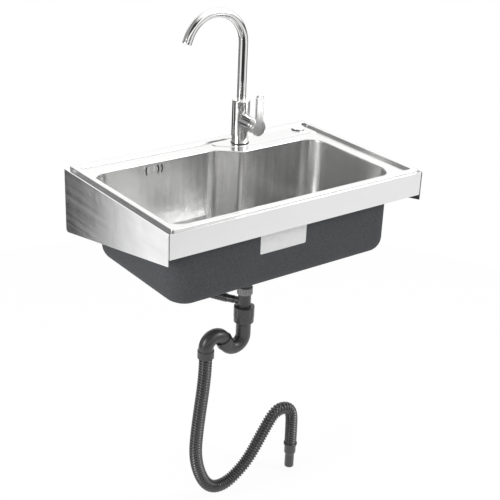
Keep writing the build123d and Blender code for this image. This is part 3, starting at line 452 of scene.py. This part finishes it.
def label_film(name, colour):
    """Blank printed film: even and pale, with faint rubbed patches."""
    material = bpy.data.materials.new(name)
    s = Shader(material)
    rubs = s.noise(s.place((1.0, 1.0, 2.2)), scale=34.0, detail=4.0, roughness=0.65)
    fibres = s.noise(s.place(), scale=700.0)
    worn = s.ramp(rubs, ((0.45, 0.0), (0.75, 1.0)))
    s.finish({
        "Base Color": s.mix(worn, shade(colour), shade(colour, 0.9)),
        "Roughness": rubs * 0.2 + 0.38,
        "Normal": s.bump(fibres, 0.00001),
    })
    return material


def finishes():
    """One material for each slot of the record."""
    return {
        "brushed_sheet": brushed_steel(
            "Brushed bracket", COLOURS["brushed_sheet"], 0.13, Y, wobble=0.0001, spread=0.4),
        "apron_sheet": brushed_steel(
            "Bright apron", COLOURS["apron_sheet"], 0.24, X, wobble=0.0002, contrast=0.025),
        "sink_sheet": brushed_steel(
            "Satin sink", COLOURS["sink_sheet"], 0.22, X, wobble=0.0011, contrast=0.09,
            walls=Z, ripple=0.0001, spread=0.7),
        "sound_coating": sprayed_coating("Sprayed coating", COLOURS["sound_coating"]),
        "label_film": label_film("Blank label", COLOURS["label_film"]),
        "polished_steel": turned_steel("Polished steel", COLOURS["polished_steel"], 0.16),
        "black_rubber": moulded("Rubber", COLOURS["black_rubber"], 0.7, grain=1300.0),
        "black_plastic": moulded(
            "Satin black plastic", COLOURS["black_plastic"], 0.32,
            grain=1100.0, depth=0.00002, specular=0.6),
        "grey_plastic": moulded("Grey plastic", COLOURS["grey_plastic"], 0.4),
        "hose_plastic": moulded(
            "Hose plastic", COLOURS["hose_plastic"], 0.18,
            grain=700.0, depth=0.00002, specular=0.8),
        "tap_steel": turned_steel("Tap steel", COLOURS["tap_steel"], 0.08),
        "lever_steel": turned_steel("Lever steel", COLOURS["lever_steel"], 0.24),
        "brass_insert": turned_steel("Brass", COLOURS["brass_insert"], 0.3),
    }


MATERIALS = {}


def material_of(slot):
    if not MATERIALS:
        MATERIALS.update(finishes())
    return MATERIALS[slot]


def paint(mesh, slot):
    mesh.materials.clear()
    mesh.materials.append(material_of(slot))


def new_object(name, data):
    piece = bpy.data.objects.new(name, data)
    bpy.context.scene.collection.objects.link(piece)
    return piece


def settled_mesh(piece):
    """The piece's shape after its modifiers, as a plain mesh."""
    graph = bpy.context.evaluated_depsgraph_get()
    return bpy.data.meshes.new_from_object(piece.evaluated_get(graph))


def settle(piece):
    """Applies the piece's modifiers, so that it ends as a plain mesh."""
    mesh = settled_mesh(piece)
    mesh.name = piece.name
    piece.modifiers.clear()
    piece.data = mesh


def smooth(piece):
    """Smooth faces with true edges kept, and flat faces kept flat beside narrow ones."""
    mesh = piece.data
    mesh.polygons.foreach_set("use_smooth", [True] * len(mesh.polygons))
    mesh.set_sharp_from_angle(angle=CREASE_ANGLE)
    weighted = piece.modifiers.new("Flat faces first", "WEIGHTED_NORMAL")
    weighted.keep_sharp = True
    weighted.weight = 100
    settle(piece)


def wear(piece, node):
    """Gives a piece its node's finish and body, and shows it in the node's place."""
    paint(piece.data, SLOTS[node])
    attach(piece, BODIES[node])
    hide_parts(node)
    return piece


def dressed(node, width):
    """A piece in the shape of a node, with its sharp edges rounded as worn tools leave them."""
    mesh = frame["nodes"][node].data.copy()
    form = bmesh.new()
    form.from_mesh(mesh)
    bmesh.ops.remove_doubles(form, verts=form.verts, dist=WELD_GAP)
    bmesh.ops.dissolve_limit(form, angle_limit=FLAT_ANGLE, verts=form.verts, edges=form.edges)
    form.to_mesh(mesh)
    form.free()
    piece = new_object(node + "_dressed", mesh)
    rounding = piece.modifiers.new("Rounded edges", "BEVEL")
    rounding.limit_method = "ANGLE"
    rounding.angle_limit = EDGE_ANGLE
    rounding.width = width
    rounding.segments = EDGE_STEPS
    rounding.use_clamp_overlap = True
    settle(piece)
    smooth(piece)
    return wear(piece, node)


def dress(width, *nodes):
    for node in nodes:
        dressed(node, width)


def route(name, points):
    """Smooth open curve that runs from the first point to the last and bends towards the rest."""
    curve = bpy.data.curves.new(name, "CURVE")
    curve.dimensions = "3D"
    curve.resolution_u = 16
    spline = curve.splines.new("NURBS")
    spline.points.add(len(points) - 1)
    for point, place in zip(spline.points, points):
        point.co = (*[c * MM for c in place], 1.0)
    spline.order_u = 3
    spline.use_endpoint_u = True
    return new_object(name, curve)


class Tree:
    """Geometry node group built node by node."""

    def __init__(self, name, sizes):
        self.group = bpy.data.node_groups.new(name, "GeometryNodeTree")
        face = self.group.interface
        face.new_socket("Geometry", in_out="INPUT", socket_type="NodeSocketGeometry")
        self.ids = {}
        for label, kind in sizes:
            socket = face.new_socket(label, in_out="INPUT", socket_type=kind)
            self.ids[label] = socket.identifier
        face.new_socket("Geometry", in_out="OUTPUT", socket_type="NodeSocketGeometry")
        self.source = self.group.nodes.new("NodeGroupInput")

    def given(self, label):
        return self.source.outputs[label]

    def add(self, kind, settings=None, inputs=None, output=0):
        """New node; a list of sockets goes into a socket that takes several links."""
        node = self.group.nodes.new(kind)
        for name, value in (settings or {}).items():
            setattr(node, name, value)
        for key, value in (inputs or {}).items():
            for item in value if isinstance(value, list) else [value]:
                if isinstance(item, bpy.types.NodeSocket):
                    self.group.links.new(item, node.inputs[key])
                else:
                    node.inputs[key].default_value = item
        return node.outputs[output] if node.outputs else None

    def math(self, operation, *values):
        return self.add("ShaderNodeMath", {"operation": operation}, dict(enumerate(values)))

    def tube(self, line, circle, radius):
        return self.add("GeometryNodeCurveToMesh", None,
                        {"Curve": line, "Profile Curve": circle, "Scale": radius})

    def close(self, geometry):
        """Realised geometry with its material on the output."""
        real = self.add("GeometryNodeRealizeInstances", None, {"Geometry": geometry})
        painted = self.add("GeometryNodeSetMaterial", None,
                           {"Geometry": real, "Material": self.given("Material")})
        self.add("NodeGroupOutput", None, {0: painted})

    def put_on(self, piece, values):
        modifier = piece.modifiers.new(self.group.name, "NODES")
        modifier.node_group = self.group
        for label, value in values.items():
            modifier[self.ids[label]] = value


def hose_tree():
    """Corrugated tube along a curve: ribs with flat tops, and a smooth bore."""
    labels = ("Ridge", "Valley", "Bore", "Pitch", "Cuff", "Length")
    sizes = [(label, "NodeSocketFloat") for label in labels]
    tree = Tree("Ribbed hose", sizes + [("Material", "NodeSocketMaterial")])
    ridge, valley, bore, pitch, cuff, length = (tree.given(label) for label in labels)
    line = tree.add("GeometryNodeResampleCurve", {"mode": "LENGTH"},
                    {"Curve": tree.given("Geometry"),
                     "Length": tree.math("DIVIDE", pitch, RINGS_PER_RIB)})
    along = tree.add("GeometryNodeSplineParameter", output="Length")
    phase = tree.math("FRACT", tree.math("DIVIDE", along, pitch))
    off = tree.math("ABSOLUTE", tree.math("SUBTRACT", phase, 0.5))
    rib = tree.add("ShaderNodeMapRange", {"interpolation_type": "SMOOTHSTEP"},
                   {"Value": off, "From Min": RIB_TOP_END, "From Max": RIB_FOOT,
                    "To Min": 1.0, "To Max": 0.0})
    from_end = tree.math("MINIMUM", along, tree.math("SUBTRACT", length, along))
    rib = tree.math("MULTIPLY", rib, tree.math("GREATER_THAN", from_end, cuff))
    radius = tree.math("MULTIPLY_ADD", tree.math("SUBTRACT", ridge, valley), rib, valley)
    circle = tree.add("GeometryNodeCurvePrimitiveCircle", None,
                      {"Resolution": RING_SIDES, "Radius": 1.0})
    outer = tree.tube(line, circle, radius)
    inner = tree.add("GeometryNodeFlipFaces", None, {"Mesh": tree.tube(line, circle, bore)})
    both = tree.add("GeometryNodeJoinGeometry", None, {0: [inner, outer]})
    tree.close(tree.add("GeometryNodeSetShadeSmooth", None, {"Geometry": both}))
    return tree


def ribbed_hose(tree, name, points, node, sizes):
    """Hose in a node's place, with the points that its centre line follows."""
    line = route(name + "_route", points)
    centre = bpy.data.meshes.new_from_object(line)
    path = [v.co.copy() for v in centre.vertices]
    length = sum((b - a).length for a, b in zip(path, path[1:]))
    tree.put_on(line, {**sizes, "Length": length, "Material": material_of(SLOTS[node])})
    mesh = settled_mesh(line)
    bpy.data.objects.remove(line)
    form = bmesh.new()
    form.from_mesh(mesh)
    rims = [e for e in form.edges if e.is_boundary]
    for end in (path[0], path[-1]):
        near = [e for e in rims if (e.verts[0].co - end).length < 3 * sizes["Ridge"]]
        bmesh.ops.bridge_loops(form, edges=near)
    bmesh.ops.recalc_face_normals(form, faces=form.faces)
    form.to_mesh(mesh)
    form.free()
    mesh.name = name
    return wear(new_object(name, mesh), node), path


class SINK_OT_bracket(bpy.types.Operator):
    """Folded wall bracket: two side panels, front apron and rear rail"""

    bl_idname = "sink.bracket"
    bl_label = "Wall bracket"

    def execute(self, context):
        dress(context.scene.sink_edges.sheet_round,
              "left_side_panel", "right_side_panel", "front_apron", "rear_rail")
        return {"FINISHED"}


class SINK_OT_bowl(bpy.types.Operator):
    """Pressed sink with its rim, tray, groove, raised pad and bowl"""

    bl_idname = "sink.bowl"
    bl_label = "Pressed sink"

    def execute(self, context):
        dress(context.scene.sink_edges.sheet_round, "sink_shell")
        return {"FINISHED"}


class SINK_OT_coating(bpy.types.Operator):
    """Sprayed coating under the bowl and the blank label on it"""

    bl_idname = "sink.coating"
    bl_label = "Coating and label"

    def execute(self, context):
        dress(context.scene.sink_edges.cast_round, "bowl_coating")
        dress(LABEL_ROUND, "product_label")
        return {"FINISHED"}


class SINK_OT_waste(bpy.types.Operator):
    """Strainer, basket and the housing under the bowl"""

    bl_idname = "sink.waste"
    bl_label = "Waste"

    def execute(self, context):
        edges = context.scene.sink_edges
        dress(0.6 * edges.cast_round,
              "strainer_flange", "strainer_basket", "basket_knob", "centre_screw")
        dress(edges.plastic_round,
              "drain_housing", "strainer_gasket", "under_gasket", "basket_stopper")
        return {"FINISHED"}


class SINK_OT_trap(bpy.types.Operator):
    """Outlet nut, tee, slip nut and the two bends of the trap"""

    bl_idname = "sink.trap"
    bl_label = "Trap"

    def execute(self, context):
        dress(context.scene.sink_edges.plastic_round,
              "outlet_nut", "outlet_washer", "tail_tee", "trap_nut", "trap_seal",
              "trap_lower_bend", "trap_upper_bend")
        return {"FINISHED"}


class SINK_OT_hoses(bpy.types.Operator):
    """Ribbed waste hose with its end piece, and the ribbed overflow hose with its elbow"""

    bl_idname = "sink.hoses"
    bl_label = "Hoses"

    def execute(self, context):
        sizes = context.scene.sink_hoses
        edges = context.scene.sink_edges
        end_piece = dressed("hose_end_connector", edges.plastic_round)
        tree = hose_tree()
        points = [(HOSE_TOP[X] + x, HOSE_TOP[Y], HOSE_TOP[Z] + z) for x, z in HOSE_STEPS]
        hose, path = ribbed_hose(tree, "waste_hose", points, "drain_hose", {
            "Ridge": sizes.ridge, "Valley": sizes.valley, "Bore": sizes.bore,
            "Pitch": sizes.pitch, "Cuff": 0.0})
        turn = math.radians(TEE_ANGLE)
        way = Vector((math.cos(turn), math.sin(turn), 0.0))
        tee_end = Vector(TEE_CENTRE) + way * TEE_REACH
        near_tee = tee_end + way * TEE_STRAIGHT
        points = [OVERFLOW_TOP, OVERFLOW_BEND, *OVERFLOW_POINTS, tuple(near_tee), tuple(tee_end)]
        ribbed_hose(tree, "overflow_hose_ribbed", points, "overflow_hose", {
            "Ridge": sizes.small_ridge, "Valley": sizes.small_valley, "Bore": sizes.small_bore,
            "Pitch": sizes.small_pitch, "Cuff": sizes.small_cuff})
        dress(edges.plastic_round, "overflow_elbow")
        dress(edges.cast_round, "overflow_gasket")
        dress(0.5 * edges.cast_round, "overflow_screw")
        return {"FINISHED"}


class SINK_OT_tap(bpy.types.Operator):
    """Tap body, spout, collar and outlet"""

    bl_idname = "sink.tap"
    bl_label = "Tap"

    def execute(self, context):
        dress(context.scene.sink_edges.cast_round,
              "tap_body", "spout_collar", "spout_tube", "aerator_housing", "aerator_screen",
              "bonnet_dome", "base_gasket")
        return {"FINISHED"}


class SINK_OT_lever(bpy.types.Operator):
    """Lever handle with its grub screw and index plug"""

    bl_idname = "sink.lever"
    bl_label = "Lever"

    def execute(self, context):
        dress(0.5 * context.scene.sink_edges.cast_round,
              "lever_handle", "lever_set_screw", "index_plug")
        return {"FINISHED"}


class SINK_OT_fixings(bpy.types.Operator):
    """Hole cover, nuts, washers and the parts inside the tap"""

    bl_idname = "sink.fixings"
    bl_label = "Fixings"

    def execute(self, context):
        dress(0.6 * context.scene.sink_edges.cast_round,
              "hole_cap", "cap_gasket", "cap_nut", "rubber_washer", "steel_washer",
              "shank_nut", "tap_shank")
        for node in ("spout_bush", "spout_o_rings", "spout_clip", "cartridge", "cartridge_nut",
                     "cartridge_carrier", "lever_pin", "lever_stem"):
            paint(frame["nodes"][node].data, SLOTS[node])
        return {"FINISHED"}


def card(s, turn, height, middle, width, low, high, soft):
    """Share of a card that fills a span of compass degrees between two heights."""
    off = s.math("ABSOLUTE", s.math("WRAP", turn - middle, -180.0, 180.0))
    side = s.ease(off, width / 2 - soft / 2, width / 2 + soft / 2, start=1.0, end=0.0)
    over = s.ease(height, low - CARD_EDGE, low + CARD_EDGE)
    under = s.ease(height, high - CARD_EDGE, high + CARD_EDGE)
    return side * over * (1 - under)


def studio_world(stage):
    """White studio with cards, which metal shows as the photograph's dark and bright bands."""
    world = bpy.data.worlds.new("Studio")
    bpy.context.scene.world = world
    s = Shader(world)
    way = s.add("ShaderNodeTexCoord", output="Generated")
    x, y, z = (s.part(way, axis) for axis in (X, Y, Z))
    turn = s.math("ARCTAN2", x, y) * math.degrees(1.0)
    dark = 0.0
    for middle, width, low, high, depth, soft in STUDIO_CARDS:
        dark = card(s, turn, z, middle, width, low, high, soft) * depth + dark
    shine = s.ease(z, 0.0, HORIZON_RISE, stage.low_shine, stage.high_shine)
    level = shine * s.math("MAXIMUM", 1 - dark, DARKEST_SHINE)
    mirrored = s.add("ShaderNodeCombineColor", None, {0: level, 1: level, 2: level})
    light = (stage.sky_level, stage.sky_level, stage.sky_level, 1.0)
    colour = s.mix(s.ray("Glossy"), light, mirrored)
    colour = s.mix(s.ray("Camera") + s.ray("Transmission"), colour, WHITE)
    sky = s.add("ShaderNodeBackground", None, {"Color": colour, "Strength": 1.0})
    s.add("ShaderNodeOutputWorld", None, {"Surface": sky})


def lamp(name, place, target, power):
    light = bpy.data.lights.new(name, "AREA")
    light.shape = "DISK"
    light.size = LAMP_WIDTH
    light.energy = power
    piece = new_object(name, light)
    piece.location = place
    back = Vector(place) - Vector(target)
    piece.rotation_euler = back.to_track_quat("Z", "Y").to_euler()


def floor_disc(stage):
    """Pale floor below the lowest piece: white to the camera and to metal, with the shadow kept."""
    below = (0.0, FLOOR_MIDDLE, CAD_BOX[0][Z] - stage.floor_drop)
    mesh = bpy.data.meshes.new("Floor")
    form = bmesh.new()
    bmesh.ops.create_circle(form, cap_ends=True, segments=FLOOR_SIDES, radius=stage.floor_radius)
    bmesh.ops.translate(form, verts=form.verts, vec=below)
    form.to_mesh(mesh)
    form.free()
    material = bpy.data.materials.new("Pale floor")
    s = Shader(material)
    specks = s.noise(s.place(), scale=140.0, detail=3.0)
    base = s.mix(specks, shade(stage.floor_colour, 0.99), shade(stage.floor_colour))
    matt = s.add("ShaderNodeBsdfDiffuse", None, {"Color": base})
    white = s.add("ShaderNodeEmission", None, {"Color": WHITE, "Strength": FLOOR_GLOW})
    seen = s.ray("Camera") + s.ray("Glossy") + s.ray("Transmission")
    surface = s.add("ShaderNodeMixShader", None, {0: seen * FLOOR_GLOW_SHARE, 1: matt, 2: white})
    s.add("ShaderNodeOutputMaterial", None, {"Surface": surface})
    mesh.materials.append(material)
    new_object("Floor", mesh)


def place_camera(stage):
    """Camera at its place, turned, tilted and rolled as the settings say."""
    turn, tilt, roll = stage.camera_turn, stage.camera_tilt, stage.camera_roll
    back = Vector((math.sin(turn) * math.cos(tilt), -math.cos(turn) * math.cos(tilt),
                   math.sin(tilt)))
    right = Vector((math.cos(turn), math.sin(turn), 0.0))
    up = back.cross(right)
    rolled_right = right * math.cos(roll) + up * math.sin(roll)
    rolled_up = up * math.cos(roll) - right * math.sin(roll)
    data = bpy.data.cameras.new("Camera")
    data.lens = stage.lens
    data.sensor_width = SENSOR_WIDTH
    camera = new_object("Camera", data)
    axes = Matrix((rolled_right, rolled_up, back)).transposed().to_4x4()
    camera.matrix_world = Matrix.Translation(stage.camera_place) @ axes
    bpy.context.scene.camera = camera


class SINK_OT_stage(bpy.types.Operator):
    """Camera at the photograph's angle, pale floor and soft studio light"""

    bl_idname = "sink.stage"
    bl_label = "Stage"

    def execute(self, context):
        stage = context.scene.sink_stage
        place_camera(stage)
        context.scene.view_settings.view_transform = "Standard"
        studio_world(stage)
        lamp("Key", (1.75, -2.1, 1.3), (0.0, -0.25, -0.1), stage.key_power)
        lamp("Side", (-2.4, -0.35, 0.6), (0.0, -0.25, -0.3), stage.side_power)
        floor_disc(stage)
        return {"FINISHED"}


OPERATORS = (SINK_OT_stage, SINK_OT_hoses, SINK_OT_bracket, SINK_OT_bowl, SINK_OT_coating,
             SINK_OT_waste, SINK_OT_trap, SINK_OT_tap, SINK_OT_lever, SINK_OT_fixings)


class SINK_PT_panel(bpy.types.Panel):
    """Lists the sink's pieces in the order in which they are made, and their settings"""

    bl_idname = "SINK_PT_panel"
    bl_label = "Wall-mounted sink"
    bl_space_type = "VIEW_3D"
    bl_region_type = "UI"
    bl_category = "Sink"

    def draw(self, context):
        for operator in OPERATORS:
            self.layout.operator(operator.bl_idname)
        for name in SETTINGS:
            box = self.layout.box()
            group = getattr(context.scene, name)
            for key in group.bl_rna.properties.keys():
                if key not in {"rna_type", "name"}:
                    box.prop(group, key)


SETTINGS = {"sink_stage": StageSettings, "sink_steel": SteelSettings, "sink_edges": EdgeSettings,
            "sink_hoses": HoseSettings}


def register():
    for cls in (*SETTINGS.values(), *OPERATORS, SINK_PT_panel):
        bpy.utils.register_class(cls)
    for name, cls in SETTINGS.items():
        setattr(bpy.types.Scene, name, bpy.props.PointerProperty(type=cls))


def unregister():
    for name in SETTINGS:
        delattr(bpy.types.Scene, name)
    for cls in reversed((*SETTINGS.values(), *OPERATORS, SINK_PT_panel)):
        bpy.utils.unregister_class(cls)


def main():
    register()
    for operator in OPERATORS:
        group, name = operator.bl_idname.split(".")
        getattr(getattr(bpy.ops, group), name)()


if __name__ == "__main__":
    main()
